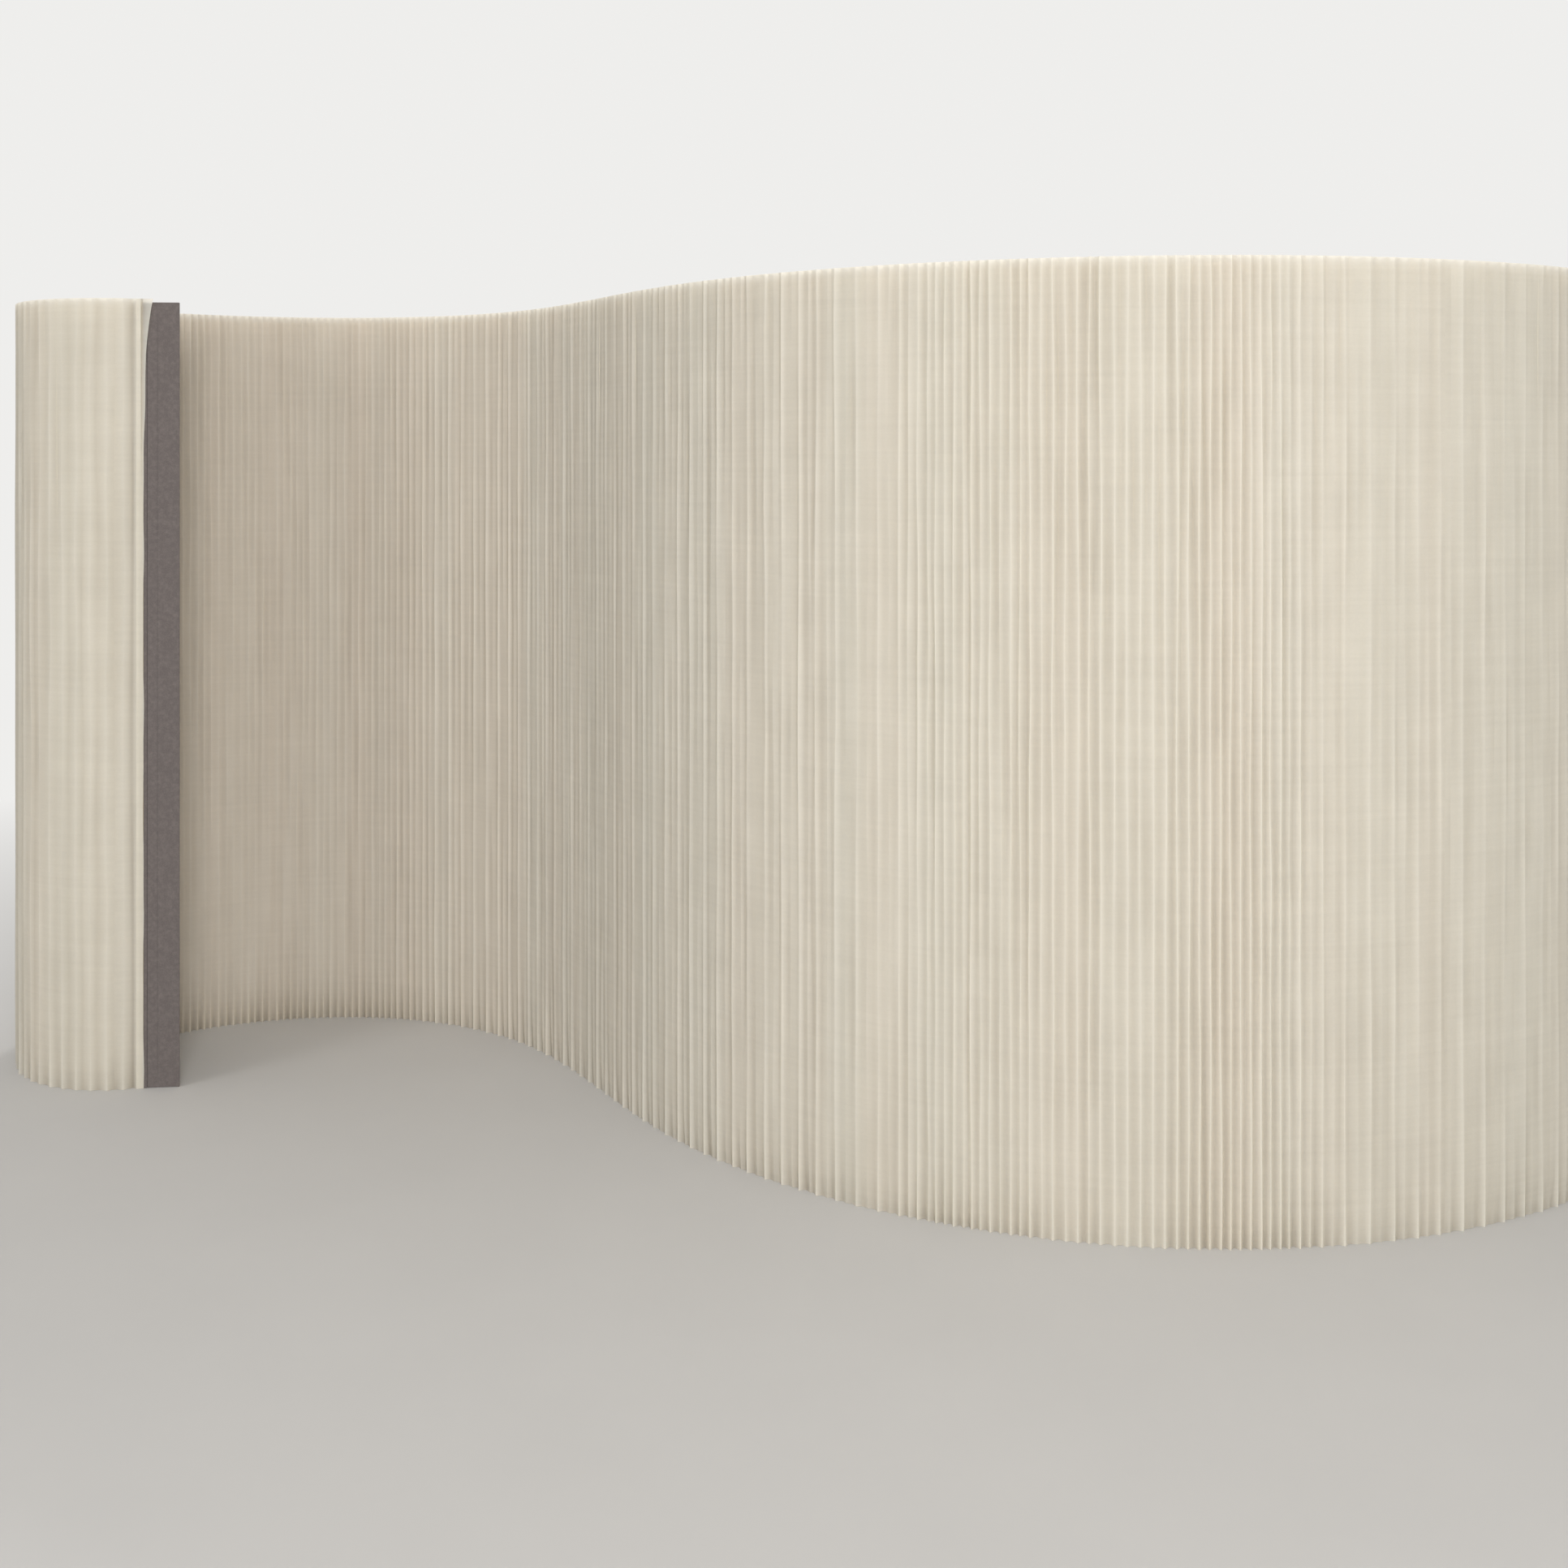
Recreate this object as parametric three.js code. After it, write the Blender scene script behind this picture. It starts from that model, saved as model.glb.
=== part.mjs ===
// A free-standing accordion screen: sheets of translucent paper, bonded in a honeycomb, stacked
// along a curved plan path, with a wool felt cover and a felt closing flap on each end.
// Millimetres, +Z up. The sheets stand upright and run across the wall's thickness.
import * as THREE from 'three';

// The wall
const wallHeight = 1830;
const wallThickness = 240;
const foldDepth = 20; // from a ridge's crest to the valley beside it
const cellWall = 1; // stands for the bonded sheets of one cell wall
const seatGap = 0.3; // between pieces that touch

// The plan path, from the felt end inside the curl to the end of the bulge
const startHeadingDeg = 196;
const endStraight = 22;
const curlClearRadius = 48; // free space inside the curl
const curlSweepDeg = 151;
const hollowFaceRadius = 682; // the hollow stretch, on its inner face
const hollowSweepDeg = 86;
const crossoverLength = 823; // the bend changes evenly from hollow to bulge
const bulgeFaceRadius = 1350; // the bulge, on its outer face
const bulgeSweepDeg = 109.5;
const pathStep = 0.5;

// Ridges in each stretch of the wall. A pack keeps its shape, and the pleats between two packs
// either bend or stretch.
const curlPacks = 3;
const curlPackRidges = 5;
const curlBendRidges = 3;
const bays = 5; // each bay is a pack, stretching pleats, a pack and bending pleats
const packRidges = 14;
const shortPackRidges = 13;
const bendRidges = 4;
const stretchRidges = 8;
const lastPackRidges = 8;

// The felt ends
const boardThickness = 3;
const feltThickness = 5;
const feltTopDrop = 8; // the felt stops this far under the paper's top edge
const flapWidth = 70;
const flapSplayDeg = 9; // the flap's rest angle, out from the line of the wall's face
const stripThickness = 1.2;
const stripWidth = 35;
const stripFromFold = 19;
const stripEndMargin = 30; // the strips stop short of the felt's top and bottom
const foldSteps = 6; // steps round the flap's folded edge

// Colours
const paperColour = 0xe6e0ce;
const feltColour = 0x706866;
const boardColour = 0xb8ae98;
const stripColour = 0x4a4544;
const paperRoughness = 0.9;
const feltRoughness = 1;

const radians = THREE.MathUtils.degToRad;

const curlRadius = curlClearRadius + wallThickness / 2;
const hollowRadius = hollowFaceRadius + wallThickness / 2;
const bulgeRadius = bulgeFaceRadius - wallThickness / 2;

// A stretch of constant radius. A negative sweep turns to the right.
function arc(radius, sweepDeg) {
  const bend = Math.sign(sweepDeg) / radius;
  return { length: radius * radians(Math.abs(sweepDeg)), fromBend: bend, toBend: bend };
}

// Stretches of the path. The bend is the turn to the left per millimetre.
const stretches = [
  { length: endStraight, fromBend: 0, toBend: 0 },
  arc(curlRadius, -curlSweepDeg),
  arc(hollowRadius, -hollowSweepDeg),
  { length: crossoverLength, fromBend: -1 / hollowRadius, toBend: 1 / bulgeRadius },
  arc(bulgeRadius, bulgeSweepDeg),
];

// Walks the stretches in small steps and returns the points passed on the way.
function walkPath() {
  const walked = [{ along: 0, x: 0, y: 0, heading: radians(startHeadingDeg) }];
  for (const { length, fromBend, toBend } of stretches) {
    const steps = Math.ceil(length / pathStep);
    const step = length / steps;
    for (let i = 0; i < steps; i++) {
      const last = walked.at(-1);
      const bend = fromBend + ((toBend - fromBend) * (i + 0.5)) / steps;
      const middle = last.heading + (bend * step) / 2;
      walked.push({
        along: last.along + step,
        x: last.x + Math.cos(middle) * step,
        y: last.y + Math.sin(middle) * step,
        heading: last.heading + bend * step,
      });
    }
  }
  return walked;
}

const walked = walkPath();
const pathLength = walked.at(-1).along;

// The point and heading at a distance along the path, which runs on straight past both ends.
function station(along) {
  let low = 0;
  let high = walked.length - 1;
  while (high - low > 1) {
    const middle = (low + high) >> 1;
    if (walked[middle].along <= along) low = middle;
    else high = middle;
  }
  const from = along > pathLength ? walked[high] : walked[low];
  const rest = along - from.along;
  const inside = along >= 0 && along <= pathLength;
  const share = inside ? rest / (walked[high].along - walked[low].along) : 0;
  const heading = from.heading + (walked[high].heading - walked[low].heading) * share;
  const middle = (from.heading + heading) / 2;
  return { x: from.x + Math.cos(middle) * rest, y: from.y + Math.sin(middle) * rest, heading };
}

// A plan point: so far along the path, so far across it to the left, then so far straight ahead.
function planPoint(along, across, ahead = 0) {
  const { x, y, heading } = station(along);
  return new THREE.Vector2(
    x - Math.sin(heading) * across + Math.cos(heading) * ahead,
    y + Math.cos(heading) * across + Math.sin(heading) * ahead,
  );
}

// An upright prism on a plan outline, with open cells through it.
function prism(outline, cells, height) {
  const turned = THREE.ShapeUtils.isClockWise(outline) ? [...outline].reverse() : outline;
  const shape = new THREE.Shape(turned);
  shape.holes = cells.map((cell) => new THREE.Path(cell));
  return new THREE.ExtrudeGeometry(shape, { depth: height, bevelEnabled: false });
}

const group = new THREE.Group();

function addPiece(name, geometry, colour, roughness) {
  const finish = new THREE.MeshStandardMaterial({ color: colour, roughness, metalness: 0 });
  const mesh = new THREE.Mesh(geometry, finish);
  mesh.name = name;
  group.add(mesh);
  return mesh;
}

// The layout of the wall, counted in ridges.
function wallLayout() {
  const layout = [];
  let ridge = 0;
  const add = (kind, ridges) => {
    const number = 1 + layout.filter((part) => part.kind === kind).length;
    const name = `${kind}_${String(number).padStart(2, '0')}`;
    layout.push({ name, kind, first: ridge, last: ridge + ridges });
    ridge += ridges;
  };
  for (let i = 0; i < curlPacks; i++) {
    add('sheet_pack', curlPackRidges);
    add('bend_pleats', i < curlPacks - 1 ? curlBendRidges : bendRidges);
  }
  for (let i = 0; i < bays; i++) {
    add('sheet_pack', i === 0 ? shortPackRidges : packRidges);
    add('stretch_pleats', stretchRidges);
    add('sheet_pack', i === 0 ? shortPackRidges : packRidges);
    add('bend_pleats', bendRidges);
  }
  add('sheet_pack', lastPackRidges);
  return layout;
}

const layout = wallLayout();
const ridgePitch = pathLength / layout.at(-1).last;

// How deep a cell wall lies under the slanted face, measured across the wall.
const foldSlope = foldDepth / (ridgePitch / 2);
const skinDepth = cellWall * Math.hypot(1, foldSlope);
const crestAcross = wallThickness / 2;
const valleyAcross = crestAcross - foldDepth;

// The zigzag outline of the ridges from first to last: one face out, the other face back.
function ridgeOutline(first, last) {
  const faces = [1, -1].map((side) => {
    const face = [];
    for (let ridge = first; ridge <= last; ridge++) {
      const ahead = ridge === first ? seatGap / 2 : ridge === last ? -seatGap / 2 : 0;
      face.push(planPoint(ridge * ridgePitch, side * valleyAcross, ahead));
      if (ridge < last) face.push(planPoint((ridge + 0.5) * ridgePitch, side * crestAcross));
    }
    return face;
  });
  return [...faces[0], ...faces[1].reverse()];
}

// The open cell inside one ridge, between its two cross walls.
function ridgeCell(ridge, first, last) {
  const endWall = seatGap / 2 + cellWall;
  const before = ridge === first ? endWall : cellWall / 2;
  const after = ridge + 1 === last ? endWall : cellWall / 2;
  const corner = (wall, side, ahead) => {
    const across = valleyAcross - skinDepth + Math.abs(ahead) * foldSlope;
    return planPoint(wall * ridgePitch, side * across, ahead);
  };
  const crest = (side) => planPoint((ridge + 0.5) * ridgePitch, side * (crestAcross - skinDepth));
  return [
    corner(ridge, 1, before),
    crest(1),
    corner(ridge + 1, 1, -after),
    corner(ridge + 1, -1, -after),
    crest(-1),
    corner(ridge, -1, before),
  ];
}

// A stretch of pleated wall: zigzag faces, and a cross wall from valley to valley in each ridge.
function pleatedWall(first, last) {
  const cells = [];
  for (let ridge = first; ridge < last; ridge++) cells.push(ridgeCell(ridge, first, last));
  return prism(ridgeOutline(first, last), cells, wallHeight);
}

for (const { name, first, last } of layout) {
  addPiece(name, pleatedWall(first, last), paperColour, paperRoughness);
}

// The layers of a felt end, counted outwards from the last sheet.
const boardFrom = seatGap;
const panelFrom = boardFrom + boardThickness + seatGap;
const panelTo = panelFrom + feltThickness;
const loopFrom = panelTo + seatGap;
const hookFrom = loopFrom + stripThickness + seatGap;
const flapFrom = hookFrom + stripThickness + seatGap;
const foldOut = flapFrom + feltThickness / 2;
const foldAcross = wallThickness / 2 - feltThickness / 2;
const feltHeight = wallHeight - feltTopDrop;
const stripHeight = feltHeight - 2 * stripEndMargin;

// A felt end. Outwards is -1 at the start of the path and 1 at its end, and side says which face
// of the wall the flap continues.
function addFeltEnd(label, outwards, side) {
  const along = outwards < 0 ? 0 : pathLength;
  const at = (out, across) => planPoint(along, side * across, outwards * out);
  const slab = (from, to, low, high) => [at(from, low), at(to, low), at(to, high), at(from, high)];
  const half = wallThickness / 2;
  const foldTop = flapFrom - seatGap;

  const board = slab(boardFrom, boardFrom + boardThickness, -half, half);
  addPiece(`end_board_${label}`, prism(board, [], wallHeight), boardColour, paperRoughness);

  const panel = [
    at(panelFrom, -half),
    at(panelTo, -half),
    at(panelTo, half - feltThickness),
    at(foldTop, half - feltThickness),
    at(foldTop, half),
    at(panelFrom, half),
  ];
  addPiece(`felt_panel_${label}`, prism(panel, [], feltHeight), feltColour, feltRoughness);

  const stripNear = foldAcross - stripFromFold;
  const loop = slab(loopFrom, loopFrom + stripThickness, stripNear - stripWidth, stripNear);
  const loopMesh = addPiece(`loop_strip_${label}`, prism(loop, [], stripHeight), stripColour, feltRoughness);
  loopMesh.position.z = stripEndMargin;

  addFlap(label, at(foldOut, foldAcross), station(along).heading, outwards, side);
}

// The flap hangs from its fold, and its splay turns it out from the line of the wall's face.
function addFlap(label, fold, heading, outwards, side) {
  const turn = outwards < 0 ? Math.PI : 0;
  const direction = heading + turn + side * outwards * radians(flapSplayDeg);
  const inner = -side * outwards;
  const at = (out, across) =>
    new THREE.Vector2(
      fold.x + Math.cos(direction) * out - Math.sin(direction) * across * inner,
      fold.y + Math.sin(direction) * out + Math.cos(direction) * across * inner,
    );
  const half = feltThickness / 2;
  const flap = [];
  for (let i = 0; i <= foldSteps; i++) {
    const angle = Math.PI / 2 + (Math.PI * i) / foldSteps;
    flap.push(at(Math.cos(angle) * half, Math.sin(angle) * half));
  }
  flap.push(at(flapWidth, -half), at(flapWidth, half));
  addPiece(`felt_flap_${label}`, prism(flap, [], feltHeight), feltColour, feltRoughness);

  const stripLow = half + seatGap;
  const stripHigh = stripLow + stripThickness;
  const stripEnd = stripFromFold + stripWidth;
  const hook = [
    at(stripFromFold, stripLow),
    at(stripEnd, stripLow),
    at(stripEnd, stripHigh),
    at(stripFromFold, stripHigh),
  ];
  const hookMesh = addPiece(`hook_strip_${label}`, prism(hook, [], stripHeight), stripColour, feltRoughness);
  hookMesh.position.z = stripEndMargin;
}

addFeltEnd('left', -1, 1);
addFeltEnd('right', 1, -1);

// The origin is under the middle of the whole screen, on the floor.
const box = new THREE.Box3().setFromObject(group, true);
group.position.set(-(box.min.x + box.max.x) / 2, -(box.min.y + box.max.y) / 2, -box.min.z);

export default group;
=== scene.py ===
import math

import bpy
import numpy as np
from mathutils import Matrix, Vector


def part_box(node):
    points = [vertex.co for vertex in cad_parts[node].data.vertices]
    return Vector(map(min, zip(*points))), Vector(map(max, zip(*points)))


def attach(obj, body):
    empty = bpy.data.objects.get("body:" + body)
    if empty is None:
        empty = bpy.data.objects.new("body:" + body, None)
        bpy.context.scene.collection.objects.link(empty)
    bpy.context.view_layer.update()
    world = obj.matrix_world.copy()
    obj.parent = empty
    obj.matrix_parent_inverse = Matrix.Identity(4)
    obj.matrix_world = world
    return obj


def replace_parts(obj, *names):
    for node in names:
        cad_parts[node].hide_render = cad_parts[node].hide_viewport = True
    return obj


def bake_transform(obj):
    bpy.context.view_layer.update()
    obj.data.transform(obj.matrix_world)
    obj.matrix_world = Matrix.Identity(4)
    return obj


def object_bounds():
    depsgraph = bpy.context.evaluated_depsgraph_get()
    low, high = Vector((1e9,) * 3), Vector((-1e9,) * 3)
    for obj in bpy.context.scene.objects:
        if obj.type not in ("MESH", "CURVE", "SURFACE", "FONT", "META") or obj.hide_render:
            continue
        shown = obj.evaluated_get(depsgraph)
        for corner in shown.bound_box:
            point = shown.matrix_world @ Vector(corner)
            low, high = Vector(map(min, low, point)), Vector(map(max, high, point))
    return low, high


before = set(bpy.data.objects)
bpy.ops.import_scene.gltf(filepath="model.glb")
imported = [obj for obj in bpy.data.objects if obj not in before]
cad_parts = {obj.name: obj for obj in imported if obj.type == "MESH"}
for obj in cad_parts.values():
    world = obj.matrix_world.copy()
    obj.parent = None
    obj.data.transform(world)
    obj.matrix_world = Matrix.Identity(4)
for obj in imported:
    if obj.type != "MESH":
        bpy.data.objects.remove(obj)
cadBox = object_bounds()
print("packed frame loaded")


class Wire:
    # one socket of a shader tree: + - * / between sockets and numbers add Math nodes
    def __init__(self, tree, socket=None):
        self.tree, self.socket = tree, socket

    def node(self, kind, values=None, output=0, **settings):
        made = self.tree.nodes.new("ShaderNode" + kind)
        for name, value in settings.items():
            setattr(made, name, value)
        for key, value in (values or {}).items():
            if isinstance(value, Wire):
                self.tree.links.new(value.socket, made.inputs[key])
            else:
                made.inputs[key].default_value = value
        return Wire(self.tree, made.outputs[output])

    def maths(self, operation, a, b):
        return self.node("Math", {0: a, 1: b}, operation=operation)

    def mix(self, factor, a, b, blend="MIX"):
        a, b = ((*c, 1) if isinstance(c, tuple) and len(c) == 3 else c for c in (a, b))
        return self.node("Mix", {0: factor, 6: a, 7: b}, 2, data_type="RGBA", blend_type=blend)

    def limited(self):
        return self.node("Clamp", {0: self})

    def shows(self, at, sharp):
        # 0 up to at and then a rise as steep as sharp, to 1; a negative sharp rises below at instead
        return ((self - at) * sharp).limited()

    def __add__(self, other):
        return self.maths("ADD", self, other)

    def __sub__(self, other):
        return self.maths("SUBTRACT", self, other)

    def __rsub__(self, other):
        return self.maths("SUBTRACT", other, self)

    def __mul__(self, other):
        return self.maths("MULTIPLY", self, other)

    __radd__, __rmul__ = __add__, __mul__


def newMaterial(name):
    made = bpy.data.materials.new(name)
    made.use_nodes = True
    made.node_tree.nodes.clear()
    return made, Wire(made.node_tree)


def finishMaterial(made, shader, plain):
    # plain is the colour for the solid view
    out = made.node_tree.nodes.new("ShaderNodeOutputMaterial")
    made.node_tree.links.new(shader.socket, out.inputs[0])
    made.diffuse_color = (*plain, 1)
    return made


# Camera and light: the photograph's level camera, 1.44 m up, and soft lamps in front, far left and behind.

view = {
    "place": (-0.075, -3.912, 1.44),
    "lens": 39.13, "sensor": 36,
    "shiftY": -0.2022,
    "farthest": 200,
    "lamps": {              # place, watts, width
        "front": ((0.85, -7.4, 3.0), 385, 2.8),
        "left": ((-5.8, -4.4, 2.7), 92, 2.6),
        "back": ((0.9, 6.4, 4.0), 180, 3.0),
    },
    "lampAim": (0.35, -0.6, 0.9),
    "lampColour": (1, 0.992, 0.98),
    "skyForLight": 0.57, "skyColour": (1, 0.99, 0.975),
    "skySeen": (0.86, 0.855, 0.84),         # the plain background
    "floorColour": (0.56, 0.55, 0.535),
    "floorMottle": 0.03, "mottleScale": 3, "floorRoughness": 0.8,
    "floorHalf": 40,
    "floorGap": 0.0005,                     # the floor lies this far under the object
    "fadeFrom": 1.9, "fadeReach": 3.0,      # the far floor fades into the pale background
}


def makeCameraAndLight(v):
    camera = bpy.data.objects.new("camera", bpy.data.cameras.new("camera"))
    camera.data.lens, camera.data.sensor_width = v["lens"], v["sensor"]
    camera.data.shift_y = v["shiftY"]
    camera.data.clip_end = v["farthest"]
    camera.location = v["place"]
    camera.rotation_euler = (math.pi / 2, 0, 0)
    bpy.context.scene.collection.objects.link(camera)
    bpy.context.scene.camera = camera

    for name, (place, power, width) in v["lamps"].items():
        lamp = bpy.data.objects.new(name, bpy.data.lights.new(name, "AREA"))
        lamp.data.shape, lamp.data.size = "DISK", width
        lamp.data.energy, lamp.data.color = power, v["lampColour"]
        lamp.location = place
        lamp.rotation_euler = (Vector(place) - Vector(v["lampAim"])).to_track_quat("Z", "Y").to_euler()
        bpy.context.scene.collection.objects.link(lamp)

    world = bpy.data.worlds.new("studio")
    world.use_nodes = True
    world.node_tree.nodes.clear()
    w = Wire(world.node_tree)
    sky = w.node("MixShader", {
        0: w.node("LightPath", output="Is Camera Ray"),
        1: w.node("Background", {"Color": (*v["skyColour"], 1), "Strength": v["skyForLight"]}),
        2: w.node("Background", {"Color": (*v["skySeen"], 1), "Strength": 1.0}),
    })
    out = world.node_tree.nodes.new("ShaderNodeOutputWorld")
    world.node_tree.links.new(sky.socket, out.inputs[0])
    bpy.context.scene.world = world
    bpy.context.scene.view_settings.view_transform = "Standard"

    half = v["floorHalf"]
    mesh = bpy.data.meshes.new("studio_floor")
    corners = [(-half, -half, 0), (half, -half, 0), (half, half, 0), (-half, half, 0)]
    mesh.from_pydata(corners, [], [(0, 1, 2, 3)])
    floor = bpy.data.objects.new("studio_floor", mesh)
    floor.location.z = cadBox[0].z - v["floorGap"]
    bpy.context.scene.collection.objects.link(floor)
    made, w = newMaterial("pale_floor")
    place = w.node("TexCoord", output="Object")
    mottle = w.node("TexNoise", {"Vector": place, "Scale": v["mottleScale"], "Detail": 4})
    darker = tuple(c * (1 - v["floorMottle"]) for c in v["floorColour"])
    lighter = tuple(c * (1 + v["floorMottle"]) for c in v["floorColour"])
    shader = w.node("BsdfPrincipled", {
        "Base Color": w.mix(mottle, darker, lighter), "Roughness": v["floorRoughness"],
    })
    away = w.node("VectorMath", {0: place}, "Value", operation="LENGTH")
    far = away.shows(v["fadeFrom"], 1 / v["fadeReach"])
    plain = w.node("Emission", {"Color": (*v["skySeen"], 1), "Strength": 1.0})
    seen = w.node("LightPath", output="Is Camera Ray")
    shader = w.node("MixShader", {0: far * seen, 1: shader, 2: plain})
    mesh.materials.append(finishMaterial(made, shader, v["floorColour"]))


makeCameraAndLight(view)
print("camera, lamps and floor ready")


# The plan path that the wall follows, walked in half-millimetre steps.

wall = {
    "height": 1.830,
    "thickness": 0.240,
    "ridges": 231,
    "startHeading": 196,                        # degrees from x
    "step": 0.0005,
    "boardMiddle": 0.0018,                      # the end board's middle lies this far past the last sheet
    "straight": 0.022,
    "curlRadius": 0.168, "curlSweep": 151,
    "hollowRadius": 0.802, "hollowSweep": 86,
    "crossover": 0.823,
    "bulgeRadius": 1.230, "bulgeSweep": 109.5,
}


def walkPath(p):
    # heading is the running sum of curvature times step, and place the running sum of heading
    curl, hollow, bulge = -1 / p["curlRadius"], -1 / p["hollowRadius"], 1 / p["bulgeRadius"]
    stretches = [
        (p["straight"], 0, 0),
        (math.radians(p["curlSweep"]) / abs(curl), curl, curl),
        (math.radians(p["hollowSweep"]) / abs(hollow), hollow, hollow),
        (p["crossover"], hollow, bulge),
        (math.radians(p["bulgeSweep"]) / bulge, bulge, bulge),
    ]
    steps, bends = [], []
    for length, first, last in stretches:
        n = math.ceil(length / p["step"] - 1e-6)        # forgives rounding in the division
        steps.append(np.full(n, length / n))
        bends.append(first + (last - first) * (np.arange(n) + 0.5) / n)
    ds, bend = np.concatenate(steps), np.concatenate(bends)
    heading = math.radians(p["startHeading"]) + np.concatenate([[0], np.cumsum(bend * ds)])
    middle = heading[:-1] + bend * ds / 2
    return {
        "s": np.concatenate([[0], np.cumsum(ds)]),
        "heading": heading,
        "x": np.concatenate([[0], np.cumsum(np.cos(middle) * ds)]),
        "y": np.concatenate([[0], np.cumsum(np.sin(middle) * ds)]),
        "bend": np.concatenate([bend[:1], bend]),
    }


path = walkPath(wall)
pathLength = path["s"][-1]
shift = np.zeros(2)


def onPlan(s, across):
    # s along the path and across to its left, in metres; past either end the path runs on straight
    inside = np.clip(s, 0, pathLength)
    heading = np.interp(inside, path["s"], path["heading"])
    past = s - inside
    x = np.interp(inside, path["s"], path["x"]) + np.cos(heading) * past - np.sin(heading) * across
    y = np.interp(inside, path["s"], path["y"]) + np.sin(heading) * past + np.cos(heading) * across
    return x + shift[0], y + shift[1]


low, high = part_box("end_board_left")
boardPlace = np.array([(low.x + high.x) / 2, (low.y + high.y) / 2])
shift[:] = boardPlace - np.array(onPlan(-wall["boardMiddle"], 0.0))
print("path", round(pathLength, 4), "shift", shift.round(4))


# Paper: how the 231 ridges lie along the path, and how deep they fold.

paper = {
    "seed": 11,
    "cellWall": 0.0132,         # paper from a crest to the valley beside it
    "leastDepth": 0.0060,
    "flattest": 0.06,           # share of the depth that stays where the relief is 0
    "endDepth": 0.0016,         # the end sheets reach almost to the face
    "crestRound": 1.2,          # 1 is a sharp fold, more is a rounder one
    "segments": 7,              # from crest to valley
    "uvApart": 0.37, "coreApart": (0.29, 0.13),     # so that no two sheets show the same fibres
    "shadeDepth": 0.0075,       # the depth at which the painted shade of the troughs is one full step darker
    "crestHighlightWidth": 0.2,           # half width of the painted highlight along a crest, as a share of the way to the valley
    # painted highlight on the strong crests, and its least share where the ridges stand out least
    "paintedCrestHighlight": 0.22, "leastCrestHighlight": 0.2,
    "creaseShadeWidth": 0.3,          # the same for the painted shade along a sharp valley
    # how dark the painted shade in the sharp valleys is
    "paintedCreaseShade": 1.3,
    "creaseAt": (0, 0.25, 0.35, 1.3, 1.7, 2.6, 3.0, 4.84),      # where sharp valleys show painted shade
    "crease": (0.5, 0.5, 0.1, 0.1, 0.6, 0.45, 0.1, 0.1),
    "rows": 34,
    "coreSegments": 3,
    "cells": 10,                # half cells between the two valley lines
    "layerCells": 2,            # half cells in one layer of the tight curl
    "coreInset": 0.016,         # the core layers' distances from the path stay this far inside the two faces
    "unevenPitch": 0.08, "unevenMost": 1.6,
    "offCentre": 0.07,          # how far a crest lies from the middle of its ridge, as a share of the ridge
    "unevenCrest": 0.08,        # how far a crest falls back, as a share of the fold's depth
    "driftWaves": (0.3, 1.6),   # lengths of the slow waves up the height
    "wanderAlong": 0.0014, "wanderCrest": 0.0006, "wanderValley": 0.00084,
    "floorHold": 0.35,          # the floor holds the lower edge by this share
    # relative pitch along the path, and how far every other crest falls back
    "pitchAt": (0, 1.25, 1.4, 2.3, 2.5, 3.0, 3.1, 3.25, 3.4, 3.48, 3.56, 3.64, 3.7, 3.8, 4.1, 4.3, 4.84),
    "pitch": (1.0, 0.97, 1.1, 1.1, 0.97, 0.95, 0.76, 0.83, 1.0, 0.98, 0.79, 0.78, 0.87, 1.1, 1.15, 1.0, 1.0),
    "alternateAt": (0, 1.2, 1.5, 2.3, 2.6, 3.0, 3.08, 3.2, 3.35, 3.65, 3.75, 4.0, 4.2, 4.84),
    "alternate": (0.2, 0.25, 0.8, 0.8, 0.9, 0.8, 0.3, 0.35, 0.1, 0.05, 0.6, 0.8, 0.7, 0.4),
    "weakCrestDrop": 0.65,      # share of the fold's depth
    # how strongly the ridges stand out along the path, at the top and at the floor
    "reliefAt": (0, 0.25, 0.6, 0.9, 1.2, 1.4, 1.8, 2.6, 3.0, 3.2, 3.35, 3.5, 3.65, 3.75, 4.0, 4.2, 4.84),
    "reliefTop": (0.4, 0.4, 0.5, 0.26, 0.32, 0.5, 0.38, 0.45, 0.45,
                  0.64, 1.08, 0.81, 0.45, 0.36, 0.26, 0.2, 0.3),
    "reliefFloor": (0.43, 0.43, 0.04, 0.06, 0.19, 0.4, 0.36, 0.43, 0.42,
                    0.53, 0.81, 1.0, 0.77, 0.6, 0.49, 0.2, 0.3),
    "footRelief": 1.3, "footHeight": 0.05,      # the lower edge shows its full folds
    # warm (above 0) or cool paper along the path, and how much one group of sheets differs from the next; the
    # warmth in the hollow and the coolness on the bulge are partly the paper's own shade and partly painted
    # light
    "tintAt": (0, 0.3, 0.6, 1.2, 1.5, 1.9, 2.4, 3.3, 3.5, 3.65, 3.8, 4.84),
    "tint": (-0.05, 0.0, 0.95, 0.9, 0.5, 0.1, -0.12, -0.05, 0.2, 0.15, -0.05, -0.1),
    "tintSpread": 0.32, "tintGroups": 90,
}

draw = np.random.default_rng(paper["seed"])
ridges = wall["ridges"]


def drift(lines, z, size):
    # each line's slow wander up its height: the sum of three seeded sines, over 1.8
    wave = draw.uniform(*paper["driftWaves"], (lines, 3, 1))
    phase = draw.uniform(0, 2 * np.pi, (lines, 3, 1))
    return size * np.sin(2 * np.pi * z / wave + phase).sum(1) / 1.8


def relief(s, z):
    # a straight blend, up the height, between the two tables; close to the floor it comes to footRelief
    top = np.interp(s, paper["reliefAt"], paper["reliefTop"])[:, None]
    floor = np.interp(s, paper["reliefAt"], paper["reliefFloor"])[:, None]
    mostly = floor + (top - floor) * z / wall["height"]
    return mostly + (paper["footRelief"] - mostly) * np.exp(-z / paper["footHeight"])


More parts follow.
